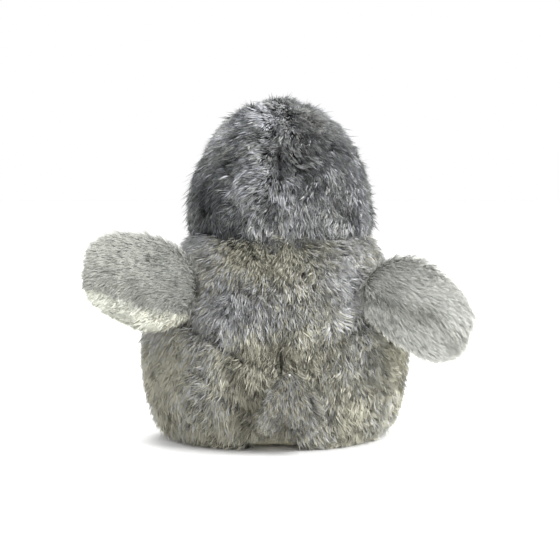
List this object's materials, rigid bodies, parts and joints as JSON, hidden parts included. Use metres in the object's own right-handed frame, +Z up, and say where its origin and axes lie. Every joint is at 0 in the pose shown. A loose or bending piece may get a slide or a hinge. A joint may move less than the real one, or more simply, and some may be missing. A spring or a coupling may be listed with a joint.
{
  "type": "plush penguin",
  "caption": "Sitting plush penguin chick with a dark head, grey back, pale belly, two raised stuffed flippers, a short tail and flat feet; it stands on an oval base.",
  "frame": {"origin": "centre of the oval base, on the surface that the penguin stands on", "axes": "+Z up, -Y the way the penguin faces, +X towards its own left flipper"},
  "size_m": [0.1916, 0.14, 0.164],
  "materials": {
    "charcoal_pile": "matte",
    "grey_pile": "matte",
    "silver_pile": "matte",
    "white_plush": "matte",
    "cream_plush": "matte",
    "black_felt": "matte",
    "dark_felt": "matte",
    "eye_plastic": "gloss",
    "washer_plastic": "matte",
    "polyester_fill": "matte",
    "pouch_cloth": "matte",
    "pellet_plastic": "matte"
  },
  "bodies": {
    "torso": {"back_left": "grey_pile", "back_right": "grey_pile", "side_left": "grey_pile", "side_right": "grey_pile", "belly": "cream_plush", "base_panel": "cream_plush", "torso_stuffing": "polyester_fill", "pellet_pouch": "pouch_cloth", "pellets": "pellet_plastic"},
    "head": {"head_left": "charcoal_pile", "head_right": "charcoal_pile", "crown_gusset": "charcoal_pile", "cheek_left": "white_plush", "cheek_right": "white_plush", "head_stuffing": "polyester_fill", "beak_upper": "black_felt", "beak_lower": "black_felt", "beak_stuffing": "polyester_fill", "eye_left": "eye_plastic", "eye_right": "eye_plastic", "eye_washer_left": "washer_plastic", "eye_washer_right": "washer_plastic"},
    "tail": {"tail_upper": "grey_pile", "tail_lower": "grey_pile", "tail_stuffing": "polyester_fill"},
    "flipper_left": {"flipper_left_outer": "silver_pile", "flipper_left_inner": "white_plush", "flipper_left_stuffing": "polyester_fill"},
    "foot_left": {"foot_left_upper": "dark_felt", "foot_left_sole": "dark_felt", "foot_left_stuffing": "polyester_fill"},
    "flipper_right": {"flipper_right_outer": "silver_pile", "flipper_right_inner": "white_plush", "flipper_right_stuffing": "polyester_fill"},
    "foot_right": {"foot_right_upper": "dark_felt", "foot_right_sole": "dark_felt", "foot_right_stuffing": "polyester_fill"}
  },
  "joints": [
    {"name": "head_turn", "type": "hinge", "parent": "torso", "child": "head", "pos_m": [0, 0, 0.098], "axis": [0, 0, 1], "range_deg": [-15, 15], "stiffness_Nm_per_rad": 0.5},
    {"name": "flipper_left_flap", "type": "hinge", "parent": "torso", "child": "flipper_left", "pos_m": [0.0468, 0.0394, 0.074], "axis": [0.0508, 0.4381, -0.8975], "range_deg": [-30, 20], "stiffness_Nm_per_rad": 0.1},
    {"name": "flipper_right_flap", "type": "hinge", "parent": "torso", "child": "flipper_right", "pos_m": [-0.0468, 0.0394, 0.074], "axis": [-0.4077, -0.3572, 0.8403], "range_deg": [-30, 20], "stiffness_Nm_per_rad": 0.1},
    {"name": "tail_lift", "type": "hinge", "parent": "torso", "child": "tail", "pos_m": [-0.004, 0.0593, 0.035], "axis": [1, 0, 0], "range_deg": [0, 45], "stiffness_Nm_per_rad": 0.02},
    {"name": "foot_left_lift", "type": "hinge", "parent": "torso", "child": "foot_left", "pos_m": [0.019, -0.0495, 0.0049], "axis": [-0.9781, -0.2079, 0], "range_deg": [0, 25], "stiffness_Nm_per_rad": 0.05},
    {"name": "foot_right_lift", "type": "hinge", "parent": "torso", "child": "foot_right", "pos_m": [-0.019, -0.0495, 0.0049], "axis": [-0.9781, 0.2079, 0], "range_deg": [0, 25], "stiffness_Nm_per_rad": 0.05}
  ]
}
